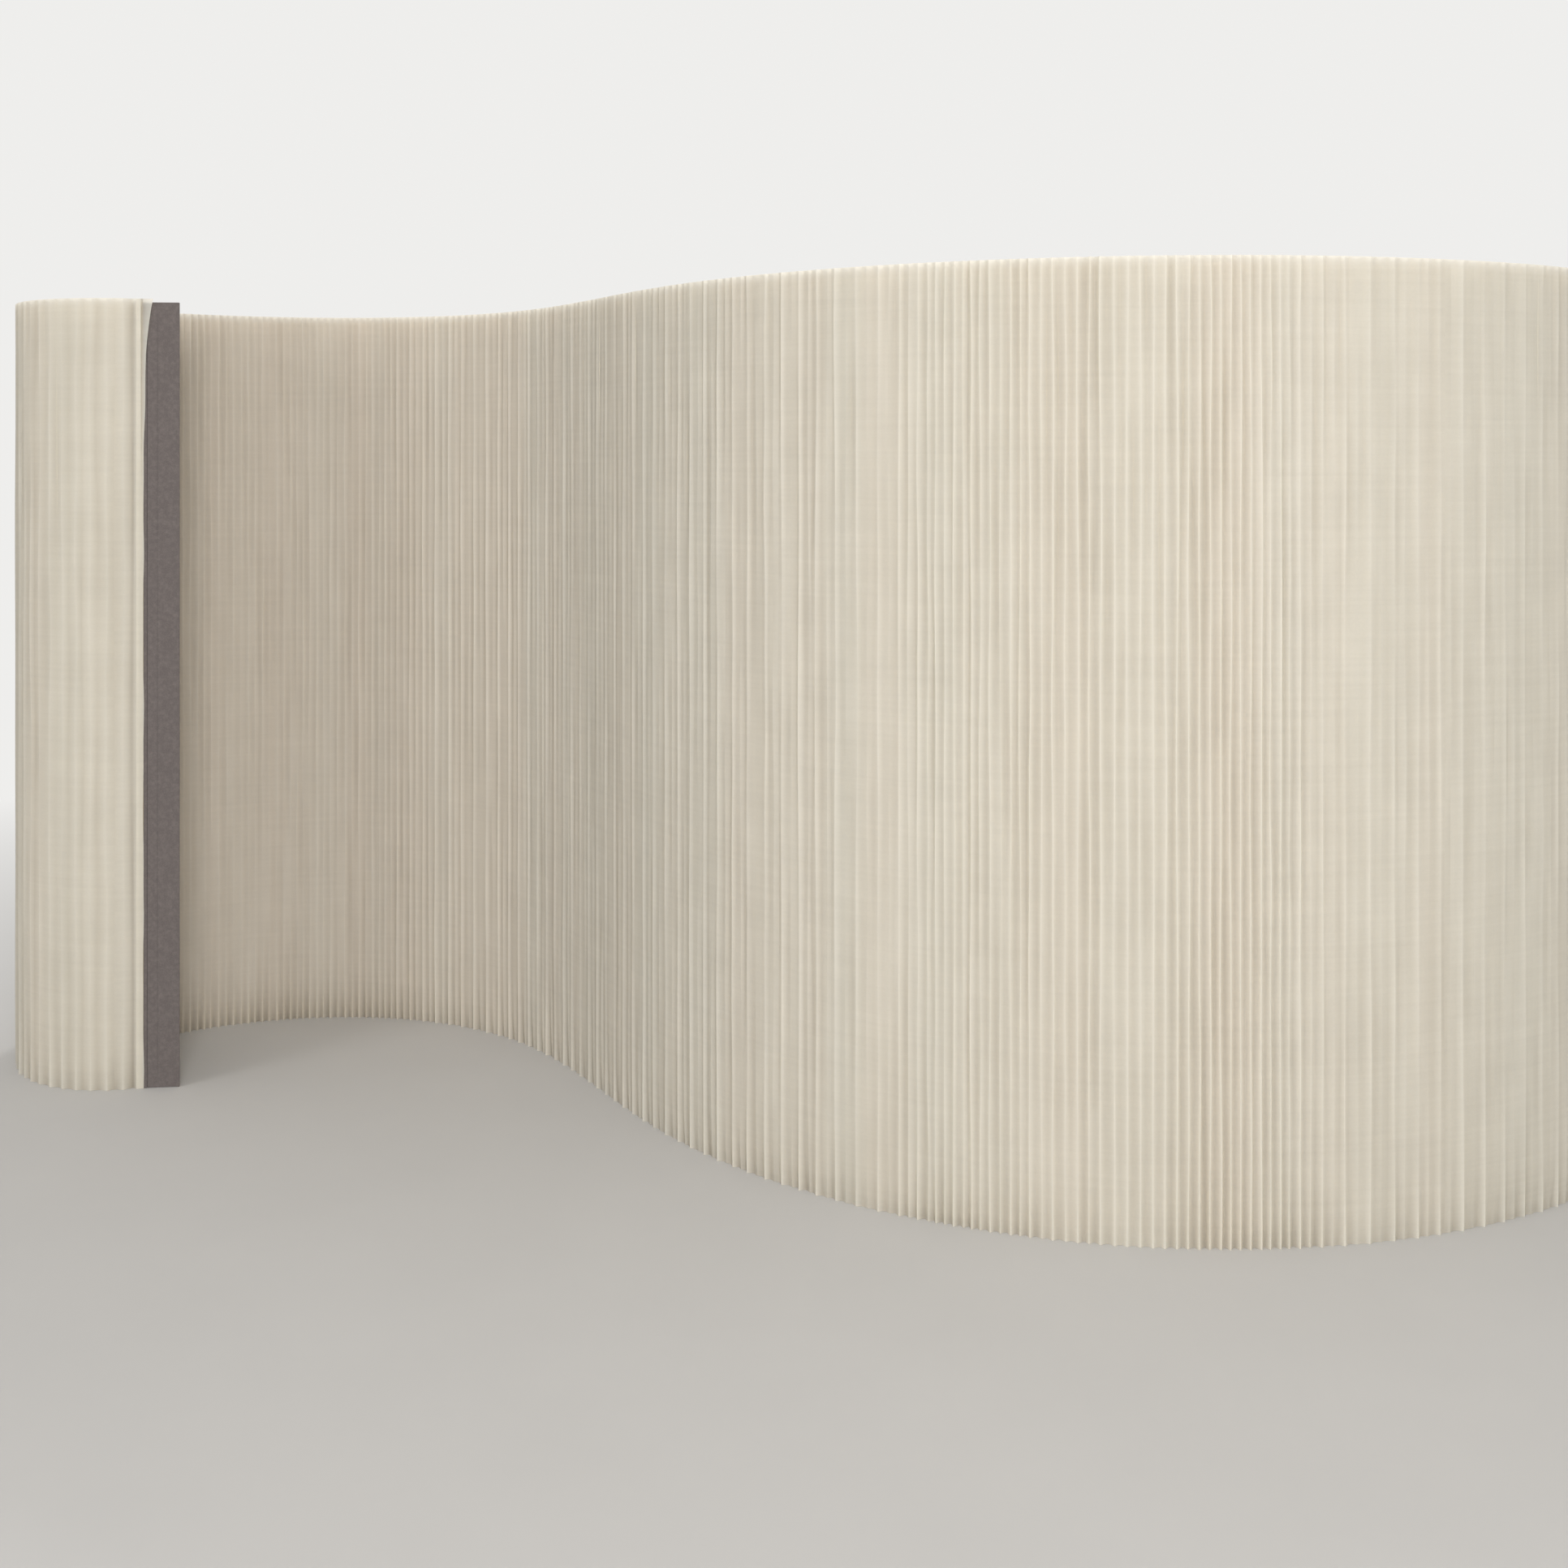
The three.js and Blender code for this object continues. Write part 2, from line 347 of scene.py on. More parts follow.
def layRidges(p):
    # valleys where the running count of 1/pitch passes each whole number, then a seeded unevenness; a fold
    # is as deep as the root of the cell wall's square less the square of half the ridge's width
    s = np.linspace(0, pathLength, 4001)
    count = np.concatenate([[0], np.cumsum(1 / np.interp((s[1:] + s[:-1]) / 2, p["pitchAt"], p["pitch"]))])
    valley = np.interp(np.arange(ridges + 1), count * ridges / count[-1], s)
    uneven = draw.standard_normal(ridges).clip(-p["unevenMost"], p["unevenMost"])
    gap = np.diff(valley) * (1 + p["unevenPitch"] * uneven)
    valley = np.concatenate([[0], np.cumsum(gap)]) * pathLength / gap.sum()
    gap = np.diff(valley)
    crest = valley[:-1] + gap * (0.5 + draw.uniform(-p["offCentre"], p["offCentre"], ridges))
    t = np.linspace(0, 1, p["rows"])
    z = wall["height"] * (t / 2 + (1 - np.cos(np.pi * t)) / 4)       # closer rows near the top and the floor
    steady = 1 - p["floorHold"] * (1 - z / wall["height"]) ** 2
    alternate = np.interp(crest, p["alternateAt"], p["alternate"]) * (np.arange(ridges) % 2)
    sides = {}
    for side in (-1, 1):
        bend = np.interp(valley, path["s"], path["bend"])
        wide = np.concatenate([gap[:1], (gap[1:] + gap[:-1]) / 2, gap[-1:]])
        wide = wide * (1 - bend * side * wall["thickness"] / 2)
        depth = np.sqrt(np.maximum(p["cellWall"] ** 2 - (wide / 2) ** 2, p["leastDepth"] ** 2))[:, None]
        depth = depth * (p["flattest"] + (1 - p["flattest"]) * relief(valley, z))
        crestDepth = np.minimum(depth[1:], depth[:-1])
        sides[side] = {
            "crestS": crest[:, None] + drift(ridges, z, p["wanderAlong"]) * steady,
            "crestQ": (alternate * p["weakCrestDrop"] + draw.uniform(0, p["unevenCrest"], ridges))[:, None]
            * crestDepth + (1 + drift(ridges, z, 1.0).clip(-1, 1)) * p["wanderCrest"],
            "valleyS": valley[:, None] + drift(ridges + 1, z, p["wanderAlong"]) * steady,
            "valleyQ": depth + drift(ridges + 1, z, p["wanderValley"]),
        }
        for edge in (0, -1):
            sides[side]["valleyS"][edge] = valley[edge]
            sides[side]["valleyQ"][edge] = p["endDepth"]
    # the fourth power makes the painted shade faint in most creases and dark in a few of them
    crease = draw.uniform(0, 1, ridges + 1) ** 4 * np.interp(valley, p["creaseAt"], p["crease"])
    return {
        "valley": valley, "crest": crest, "z": z, "sides": sides, "strong": 1 - alternate, "crease": crease,
    }


laid = layRidges(paper)
sheetTone = draw.uniform(-1, 1, 2 * ridges)         # how each sheet of paper differs from the next
groups = paper["tintGroups"]
groupTint = np.interp(np.arange(2 * ridges), np.linspace(0, 2 * ridges, groups), draw.uniform(-1, 1, groups))
# the tint along the path is partly painted light, warm in the hollow and cool on the bulge
placeTintAndLight = np.interp(np.repeat(laid["crest"], 2), paper["tintAt"], paper["tint"])
sheetTint = paper["tintSpread"] * groupTint + placeTintAndLight
print("ridges laid:", ridges, "over", round(pathLength, 3), "m")


def joinGrids(name, grids):
    # one paper piece from grids, each with points (columns, rows, 3), uv (columns, rows, 2), tone and tint
    # for each column, deep for each point, and flip where its faces turn the other way
    places, faces, uvs, shades, start = [], [], [], [], 0
    for g in grids:
        columns, rows = g["points"].shape[:2]
        at = start + np.arange(columns * rows).reshape(columns, rows)
        quad = np.stack([at[:-1, :-1], at[1:, :-1], at[1:, 1:], at[:-1, 1:]], -1).reshape(-1, 4)
        faces.append(quad[:, ::-1] if g["flip"] else quad)
        places.append(g["points"].reshape(-1, 3))
        uvs.append(g["uv"].reshape(-1, 2))
        deep = g["deep"] + np.zeros((columns, rows))
        shade = np.broadcast_arrays(g["tone"][:, None], g["tint"][:, None], deep)
        shades.append(np.stack(shade, -1).reshape(-1, 3))
        start += columns * rows
    faces, uvs, shades = np.concatenate(faces), np.concatenate(uvs), np.concatenate(shades)
    mesh = bpy.data.meshes.new(name)
    mesh.from_pydata(np.concatenate(places).tolist(), [], faces.tolist())
    corner = np.empty(len(mesh.loops), np.int32)
    mesh.loops.foreach_get("vertex_index", corner)
    layer = mesh.uv_layers.new(name="sheet")
    layer.uv.foreach_set("vector", uvs[corner].astype(np.float32).ravel())
    for column, label in enumerate(("tone", "tint", "deep")):
        attribute = mesh.attributes.new(label, "FLOAT", "POINT")
        attribute.data.foreach_set("value", shades[:, column].astype(np.float32))
    mesh.polygons.foreach_set("use_smooth", np.ones(len(faces), bool))
    mesh.materials.append(ivory)
    mesh.update()
    made = bpy.data.objects.new(name, mesh)
    bpy.context.scene.collection.objects.link(made)
    return made


def placed(s, across, z):
    x, y = onPlan(s, across)
    return np.stack([x, y, z + 0 * x], -1)


def skin(side, first, last):
    # one face of the wall from valley to valley: at a share v of the way from a crest to the valley beside it
    # the paper lies sin(90 v)^crestRound of the fold's depth in, so crests are narrow and troughs wide;
    # deep is 0 at the running mean of the depth, less on a crest and more in the troughs and sharp valleys,
    # and the paper's colour turns it into painted shade in the troughs and a painted highlight on the crests
    p, lines, z = paper, laid["sides"][side], laid["z"]
    n = p["segments"]
    along = 1 - np.cos(np.linspace(0, np.pi / 2, n + 1))        # closer columns near the crest
    sunk = np.sin(np.pi / 2 * along) ** p["crestRound"]
    some = slice(first, last)
    crestS, crestQ = lines["crestS"][some, None], lines["crestQ"][some, None]
    leftS, leftQ = lines["valleyS"][some, None], lines["valleyQ"][some, None]
    rightS, rightQ = lines["valleyS"][first + 1:last + 1, None], lines["valleyQ"][first + 1:last + 1, None]
    back, on = (along[n:0:-1, None], sunk[n:0:-1, None]), (along[:n, None], sunk[:n, None])
    s = np.concatenate([crestS + back[0] * (leftS - crestS), crestS + on[0] * (rightS - crestS)], 1)
    q = np.concatenate([crestQ + back[1] * (leftQ - crestQ), crestQ + on[1] * (rightQ - crestQ)], 1)
    s = np.concatenate([s.reshape(-1, len(z)), rightS[-1]])
    q = np.concatenate([q.reshape(-1, len(z)), rightQ[-1]])
    points = placed(s, side * (wall["thickness"] / 2 - q), z)
    sheet = np.minimum(2 * first + np.arange(len(s)) // n, 2 * last - 1)
    walked = np.concatenate([[0], np.cumsum(np.linalg.norm(np.diff(points[:, 0], axis=0), axis=-1))])
    uv = np.stack(np.broadcast_arrays(walked[:, None] + p["uvApart"] * first, z), -1)
    width = 4 * n + 1
    around = np.convolve(np.pad(q.mean(1), 2 * n, mode="reflect"), np.full(width, 1 / width), "valid")
    share = np.concatenate([along[n:0:-1], along[:n]])
    # painted highlight along the strong crests, weaker where the ridges stand out less
    shine = laid["strong"][some, None] * np.exp(-(share / p["crestHighlightWidth"]) ** 2)
    strength = p["leastCrestHighlight"] + (1 - p["leastCrestHighlight"]) * relief(s[:, 0], z)
    shine = np.append(shine.ravel(), 0)[:, None] * strength
    # painted shade along the sharp valleys
    sharp = np.repeat(np.stack([laid["crease"][some], laid["crease"][first + 1:last + 1]], 1), n, 1)
    sharp = sharp * np.exp(-((1 - share) / p["creaseShadeWidth"]) ** 2)
    sharp = np.append(sharp.ravel(), laid["crease"][last])[:, None]
    deep = (q - around[:, None]) / p["shadeDepth"] - p["paintedCrestHighlight"] * shine + p["paintedCreaseShade"] * sharp
    return {
        "points": points, "uv": uv, "tone": sheetTone[sheet], "tint": sheetTint[sheet], "deep": deep,
        "flip": side > 0,
    }


def coreSheets(first, last, fromCell=0, toCell=paper["cells"]):
    # every sheet between the two valley lines: it swings from valley to crest and back, half a cosine a cell
    p, z = paper, laid["z"][[0, -1]]
    n = p["coreSegments"]
    share = np.linspace(fromCell, toCell, (toCell - fromCell) * n + 1)
    swing = (0.5 - 0.5 * np.cos(np.pi * share))[:, None]       # 0 at a valley, 1 at a crest
    mix = (share / p["cells"])[:, None]
    near, far = laid["sides"][-1], laid["sides"][1]
    grids = []
    for ridge in range(first, last):
        for half in (0, 1):
            v = ridge + half
            valleyS = (1 - mix) * near["valleyS"][v][[0, -1]] + mix * far["valleyS"][v][[0, -1]]
            crestS = (1 - mix) * near["crestS"][ridge][[0, -1]] + mix * far["crestS"][ridge][[0, -1]]
            lowA = -(wall["thickness"] / 2 - near["valleyQ"][v][[0, -1]])
            highA = wall["thickness"] / 2 - far["valleyQ"][v][[0, -1]]
            across = (1 - mix) * lowA + mix * highA
            points = placed(valleyS + swing * (crestS - valleyS), across, z)
            columns = len(share)
            apart = p["coreApart"][0] * ridge + p["coreApart"][1] * half
            uv = np.stack(np.broadcast_arrays(across + apart, z), -1)
            grids.append({
                "points": points, "uv": uv, "tone": np.full(columns, sheetTone[2 * ridge + half]),
                "tint": np.full(columns, sheetTint[2 * ridge + half]), "deep": 0.0, "flip": bool(half),
            })
    return grids


paperLook = {
    "colour": (0.838, 0.812, 0.728),
    "pale": (0.850, 0.826, 0.752),
    # warm and cool paper for the tint, which along the path is partly painted light
    "warm": (0.842, 0.776, 0.682),
    "cool": (0.806, 0.804, 0.732),
    # painted highlight colour for the crests, and warm painted shade for the valleys
    "crest": (0.866, 0.852, 0.796),
    "valley": (0.838, 0.782, 0.684),
    "crestHighlightShare": 1.1, "valleyShadeShare": 0.6,
    # painted light along the top edge, where light comes in through the open cells: its colour and share
    "rim": (0.85, 0.84, 0.795), "paintedTopLightShare": 0.6,
    "paintedTopLightFrom": 1.810, "paintedTopLightHeight": 0.016,       # painted light: the pale band along the top edge
    "glow": (0.92, 0.86, 0.748),                # light that comes through the sheet
    "glowShare": 0.5,
    "roughness": 0.88, "shine": 0.25,
    "fibreSize": 0.0055, "fibreShade": 0.16,
    "cloudScale": 9, "cloudShade": 0.14,
    "laidLine": 0.0105, "laidShade": 0.14,      # height between the faint level lines
    "toneShare": 0.3, "toneShade": 0.024,
    "baseShade": 0.96,
    "paintedTroughShade": 0.30,             # painted shade: how much darker the troughs are than the crests
    "brightest": 1.08,          # the painted highlight on a crest stops here, so no colour passes white
    "bumpStrength": 0.25, "bumpHeight": 0.0006, "fibreBump": 0.35,
}


def makePaper(look):
    # fibres, faint level lines and a shade of its own for every sheet, which lets light through; painted
    # shade in the troughs and sharp valleys, a painted highlight on the crests and painted light along the
    # top
    made, w = newMaterial("ivory_paper")
    sheetPlace = w.node("UVMap", uv_map="sheet")
    tone, tint, deep = (w.node("Attribute", attribute_name=name, attribute_type="GEOMETRY", output="Fac")
                        for name in ("tone", "tint", "deep"))
    fibre = w.node("TexNoise", {
        "Vector": sheetPlace, "Scale": 1 / look["fibreSize"], "Detail": 6, "Roughness": 0.7,
    })
    cloud = w.node("TexNoise", {
        "Vector": sheetPlace, "Scale": look["cloudScale"], "Detail": 3, "Roughness": 0.55,
    })
    stretched = w.node("Mapping", {"Vector": sheetPlace, "Scale": (3, 1 / look["laidLine"], 1)})
    laidLines = w.node("TexNoise", {"Vector": stretched, "Scale": 1.0, "Detail": 2, "Roughness": 0.6})
    colour = w.mix((tone * look["toneShare"] + 0.5).limited(), look["colour"], look["pale"])
    # warm or cool by the tint, partly painted light along the path
    colour = w.mix(tint.limited(), colour, look["warm"])
    colour = w.mix((tint * -1).limited(), colour, look["cool"])
    # painted highlight on the crests and warm painted shade in the valleys
    colour = w.mix((deep * -look["crestHighlightShare"]).limited(), colour, look["crest"])
    colour = w.mix((deep * look["valleyShadeShare"]).limited(), colour, look["valley"])
    shade = (fibre - 0.5) * look["fibreShade"] + (cloud - 0.5) * look["cloudShade"]
    shade = shade + (laidLines - 0.5) * look["laidShade"] + tone * look["toneShade"] + look["baseShade"]
    # painted shade in the troughs and sharp valleys, painted highlight on the crests
    shade = w.maths("MINIMUM", shade - deep * look["paintedTroughShade"], look["brightest"])
    grey = w.node("CombineColor", {0: shade, 1: shade, 2: shade})
    colour = w.mix(1.0, colour, grey, "MULTIPLY")
    place = w.node("SeparateXYZ", {0: w.node("TexCoord", output="Object")}, "Z")
    # painted light: a pale band along the top edge
    rim = place.shows(look["paintedTopLightFrom"], 1 / look["paintedTopLightHeight"])
    colour = w.mix(rim * look["paintedTopLightShare"], colour, look["rim"])
    height = fibre * look["fibreBump"] + laidLines * (1 - look["fibreBump"])
    bump = w.node("Bump", {
        "Height": height, "Strength": look["bumpStrength"], "Distance": look["bumpHeight"],
    })
    solid = w.node("BsdfPrincipled", {
        "Base Color": colour, "Roughness": look["roughness"], "Specular IOR Level": look["shine"],
        "Normal": bump,
    })
    glow = w.node("BsdfTranslucent", {"Color": (*look["glow"], 1)})
    both = w.node("MixShader", {0: look["glowShare"], 1: solid, 2: glow})
    return finishMaterial(made, both, look["colour"])


ivory = makePaper(paperLook)

packs = {
    # the middle of each pack, counted in ridges of even pitch, as in the CAD
    "middles": (2.5, 10.5, 18.5, 31.5, 52.5, 70, 92, 110, 132, 150, 172, 190, 212, 227),
    "curlJoints": 3,            # the first pieces, round the tight curl, are made as separate layers
}

meanPitch = pathLength / ridges
cuts = [int(np.abs(laid["valley"] - m * meanPitch).argmin()) for m in packs["middles"]]
# the CAD's pleats between one pack and the next
joined = ["bend_pleats_01", "bend_pleats_02", "bend_pleats_03", "stretch_pleats_01", "bend_pleats_04",
          "stretch_pleats_02", "bend_pleats_05", "stretch_pleats_03", "bend_pleats_06", "stretch_pleats_04",
          "bend_pleats_07", "stretch_pleats_05", "bend_pleats_08"]


def linePoint(ridgeValley, across):
    x, y = onPlan(laid["valley"][ridgeValley], across)
    return (float(x), float(y), 0.0)


def wallSheets(first, last):
    return [skin(-1, first, last), skin(1, first, last)] + coreSheets(first, last)


def curlLayers(first, last):
    # name, grids and how far from the path the layer lies
    p, half = paper, wall["thickness"] / 2
    layers = [("_outer", [skin(1, first, last)], half), ("_inner", [skin(-1, first, last)], -half)]
    for cell in range(0, p["cells"], p["layerCells"]):
        share = (2 * cell + p["layerCells"]) / p["cells"] - 1       # -1 at one face and 1 at the other
        sheets = coreSheets(first, last, cell, cell + p["layerCells"])
        layers.append((f"_core_{cell // p['layerCells'] + 1}", sheets, share * (half - p["coreInset"])))
    return layers


def makePleats():
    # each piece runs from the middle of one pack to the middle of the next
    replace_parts(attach(joinGrids("pleats_left_end", wallSheets(0, cuts[0])), "pack_01"), "sheet_pack_01")
    for i, node in enumerate(joined):
        first, last = cuts[i], cuts[i + 1]
        name = f"pleats_{i + 1:02d}"
        layers = curlLayers(first, last) if i < packs["curlJoints"] else [("", wallSheets(first, last), 0.0)]
        for number, (suffix, grids, across) in enumerate(layers):
            made = joinGrids(name + suffix, grids)
            if number == 0:
                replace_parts(made, node, *([f"sheet_pack_{i + 2:02d}"] if i < len(joined) - 1 else []))
            linePoint(first, across)
            linePoint(last, across)
            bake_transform(made)
        print(name, "ridges", first, "to", last)
    end = joinGrids("pleats_right_end", wallSheets(cuts[-1], ridges))
    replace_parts(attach(end, "pack_14"), "sheet_pack_14")


makePleats()
print("paper pleats made")

# Felt ends: a cover over each end board, and a flap that hangs from the cover's fold.

felt = {
    "height": 1.822,
    "thick": 0.005,
    "panelFrom": 0.0036,        # outwards from the last sheet
    "loopFrom": 0.0089,
    "foldTop": 0.0116,
    "foldOut": 0.0144,
    "foldAcross": 0.1175,
    "flapWidth": 0.070,
    "splay": 9,                 # degrees that the flap turns out from the face
    "tapeThick": 0.0012,
    "tapeGap": 0.0003,          # between the flap and its hook tape
    "tapeFromFold": 0.019,
    "tapeWidth": 0.035,
    "tapeMargin": 0.030,        # the tapes stop short of the felt's top and bottom
    "round": 0.0013, "innerRound": 0.0008, "tapeRound": 0.0004,
    "foldRound": 0.98,          # the flap's round at the fold, as a share of half its thickness
    "coverSpacing": 0.008, "tapeSpacing": 0.004, "flapSpacing": 0.0012,     # steps along the outlines
    "coverRows": 12, "loopRows": 24, "rows": 64,
    "coverRims": 0.003,         # what the cover's felt adds to its width round the two edges
    "wave": 0.0026, "waveLengths": (0.35, 1.3), "waveRise": 1.6,        # of the flap's free side
    "stitchFromFold": 0.0212,
    "stitchLong": 0.0052, "stitchEvery": 0.0086, "threadRadius": 0.00055,
    "stitchUneven": 0.0004, "stitchAside": 0.0003,
    "stitchSides": 6, "stitchRings": 5,
    "seam": 0.0006, "seamWidth": 0.0016,        # how far the stitches draw the felt in
    "loopStitchIn": 0.0016, "loopStitchSunk": 0.0006,       # from the tape's edge, and under its face
}

# each end's place on the path, its outward direction along it, and the side of the face the flap continues
endPlaces = {"left": (0.0, -1, 1), "right": (pathLength, 1, -1)}


def fromFrame(origin, out, across, o, a, z):
    x, y = (origin[i] + out[i] * o + across[i] * a for i in (0, 1))
    return np.stack([x, y, z + 0 * o], -1)


def endFrame(label):
    # (out, across, z): outwards from the last sheet, and across to the face that the flap continues
    s, outwards, side = endPlaces[label]
    heading = float(np.interp(s, path["s"], path["heading"]))
    origin = onPlan(s, 0.0)
    out = np.array([math.cos(heading), math.sin(heading)]) * outwards
    across = np.array([-math.sin(heading), math.cos(heading)]) * side

    def place(o, a, z):
        return fromFrame(origin, out, across, o, a, z)
    return place


def flapFrame(label):
    # (out, across, z) from the fold's axis; the free side waves away from the cover, by the mean of three
    # seeded sines and more towards its edge, so that the hooks still close on the loops
    s, outwards, side = endPlaces[label]
    heading = float(np.interp(s, path["s"], path["heading"]))
    turned = heading + (math.pi if outwards < 0 else 0) + side * outwards * math.radians(felt["splay"])
    pivot = endFrame(label)(np.array(felt["foldOut"]), np.array(felt["foldAcross"]), np.array(0.0))
    out = np.array([math.cos(turned), math.sin(turned)])
    across = np.array([-math.sin(turned), math.cos(turned)]) * -side * outwards
    waves, phases = draw.uniform(*felt["waveLengths"], 3), draw.uniform(0, 2 * np.pi, 3)

    def place(o, a, z):
        free = np.clip(o / felt["flapWidth"], 0, 1) ** felt["waveRise"]
        lean = sum(np.sin(2 * np.pi * z / wave + phase) for wave, phase in zip(waves, phases)) / 3
        return fromFrame(pivot, out, across, o, a + felt["wave"] * free * (lean - 1) / 2, z)
    return place


def roundedOutline(corners, radii, spacing):
    # a closed outline: at each corner the curve (1-t)^2 start + 2t(1-t) corner + t^2 end, and even steps
    # between the corners
    corners, pieces = np.array(corners, float), []
    t = np.linspace(0, 1, 6)[:, None]
    for i, radius in enumerate(radii):
        here = corners[i]
        back, on = corners[i - 1] - here, corners[(i + 1) % len(corners)] - here
        start = here + back / np.linalg.norm(back) * radius
        end = here + on / np.linalg.norm(on) * radius
        pieces.append((1 - t) ** 2 * start + 2 * t * (1 - t) * here + t ** 2 * end)
        left = np.linalg.norm(on) - radius - radii[(i + 1) % len(corners)]
        n = max(1, round(left / spacing))
        pieces.append(end + on / np.linalg.norm(on) * left * np.arange(1, n)[:, None] / n)
    return np.concatenate(pieces)


def upright(name, outline, place, low, high, edge, rows, material, groove=None):
    # the outline carried up from low to high, drawn in by edge * (1 - sin) round its top and bottom rims; a
    # groove is a bell curve of its middle, depth and width, pressed into both faces
    turn = np.radians([0, 30, 60, 90])
    rim = edge * (1 - np.sin(turn))
    z = np.concatenate([low + edge * (1 - np.cos(turn)), np.linspace(low + edge, high - edge, rows)[1:-1],
                        (high - edge * (1 - np.cos(turn)))[::-1]])
    inset = np.concatenate([rim, np.zeros(rows - 2), rim[::-1]])
    along = np.roll(outline, -1, 0) - np.roll(outline, 1, 0)
    along /= np.linalg.norm(along, axis=1)[:, None]
    outwards = np.stack([along[:, 1], -along[:, 0]], -1)
    local = outline[None] - outwards[None] * inset[:, None, None]
    if groove:
        middle, deep, width = groove
        drawnIn = deep * np.exp(-((outline[:, 0] - middle) / width) ** 2)
        local = local - outwards[None] * drawnIn[None, :, None]
    points = place(local[..., 0], local[..., 1], np.broadcast_to(z[:, None], local.shape[:2]))
    count, n = len(z), len(outline)
    at = np.arange(count * n).reshape(count, n)
    nextAt = np.roll(at, -1, 1)
    quads = np.stack([at[:-1], nextAt[:-1], nextAt[1:], at[1:]], -1).reshape(-1, 4)
    mesh = bpy.data.meshes.new(name)
    caps = [at[0, ::-1].tolist(), at[-1].tolist()]
    mesh.from_pydata(points.reshape(-1, 3).tolist(), [], quads.tolist() + caps)
    mesh.polygons.foreach_set("use_smooth", np.ones(len(mesh.polygons), bool))
    mesh.materials.append(material)
    made = bpy.data.objects.new(name, mesh)
    bpy.context.scene.collection.objects.link(made)
    turnOutwards(mesh)
    return made


def turnOutwards(mesh):
    # a closed mesh whose volume comes out negative is inside out
    mesh.calc_loop_triangles()
    count = len(mesh.loop_triangles)
    corner = np.empty(count * 3, np.int32)
    mesh.loop_triangles.foreach_get("vertices", corner)
    places = np.empty(len(mesh.vertices) * 3, np.float32)
    mesh.vertices.foreach_get("co", places)
    a, b, c = places.reshape(-1, 3)[corner.reshape(-1, 3)].astype(float).transpose(1, 0, 2)
    if (a * np.cross(b, c)).sum() < 0:
        mesh.flip_normals()


feltLook = {
    "colour": (0.162, 0.139, 0.132),
    "dark": (0.116, 0.099, 0.095),
    "light": (0.232, 0.206, 0.195),
    "blotch": 0.010, "tuft": 0.0022, "hair": 0.0007,
    # from what strength each pattern shows, and how sharply
    "blotchShows": (0.42, 2.4), "tuftShows": (0.5, 1.9), "hairShows": (0.44, -2.2),
    "roughness": 0.95, "shine": 0.15,
    "sheen": 0.25, "sheenRoughness": 0.6, "sheenTint": (0.8, 0.76, 0.74),
    "bumpStrength": 0.8, "bumpHeight": 0.0012,
}


def makeFelt(look):
    # wool felt: soft blotches, small tufts and fine hairs that lie every way
    made, w = newMaterial("wool_felt")
    place = w.node("TexCoord", output="Object")
    blotch = w.node("TexNoise", {
        "Vector": place, "Scale": 1 / look["blotch"], "Detail": 3, "Roughness": 0.6,
    })
    tuft = w.node("TexNoise", {
        "Vector": place, "Scale": 1 / look["tuft"], "Detail": 4, "Roughness": 0.7, "Distortion": 1.6,
    })
    hair = w.node("TexNoise", {
        "Vector": place, "Scale": 1 / look["hair"], "Detail": 3, "Roughness": 0.75, "Distortion": 3.0,
    })
    colour = w.mix(blotch.shows(*look["blotchShows"]), look["dark"], look["colour"])
    colour = w.mix(tuft.shows(*look["tuftShows"]), colour, look["light"])
    colour = w.mix(hair.shows(*look["hairShows"]), colour, look["dark"])
    bump = w.node("Bump", {
        "Height": tuft * 0.5 + hair * 0.5, "Strength": look["bumpStrength"], "Distance": look["bumpHeight"],
    })
    shader = w.node("BsdfPrincipled", {
        "Base Color": colour, "Roughness": look["roughness"], "Specular IOR Level": look["shine"],
        "Normal": bump, "Sheen Weight": look["sheen"], "Sheen Roughness": look["sheenRoughness"],
        "Sheen Tint": (*look["sheenTint"], 1),
    })
    return finishMaterial(made, shader, look["colour"])


# Closing tapes, thread and end board.

hookLook = {"colour": (0.075, 0.068, 0.066), "dot": 0.0016, "roughness": 0.6}
loopLook = {"colour": (0.085, 0.077, 0.075), "dot": 0.0011, "roughness": 0.9}
tapeLook = {
    "uneven": 0.35,             # how far the dots stray from even rows
    "dotShows": (0.55, -1.6),
    "between": 0.45,            # painted shade between the raised dots: the colour there, as a share of the tape's own
    "wear": 0.3, "wearScale": 60,
    "bumpStrength": 0.8, "bumpHeight": 0.0005,
}
threadLook = {
    "dark": (0.075, 0.064, 0.061), "light": (0.135, 0.118, 0.112), "plain": (0.11, 0.095, 0.09),
    "twistScale": 700, "roughness": 0.7, "bumpStrength": 0.6, "bumpHeight": 0.0002,
}
cardLook = {
    "dark": (0.40, 0.345, 0.255), "light": (0.50, 0.445, 0.345), "plain": (0.46, 0.4, 0.3),
    "fleck": (0.26, 0.21, 0.15), "fleckScale": 900, "fleckShows": (0.6, 4), "cloudScale": 22,
    "roughness": 0.85, "bumpStrength": 0.3, "bumpHeight": 0.0003,
}


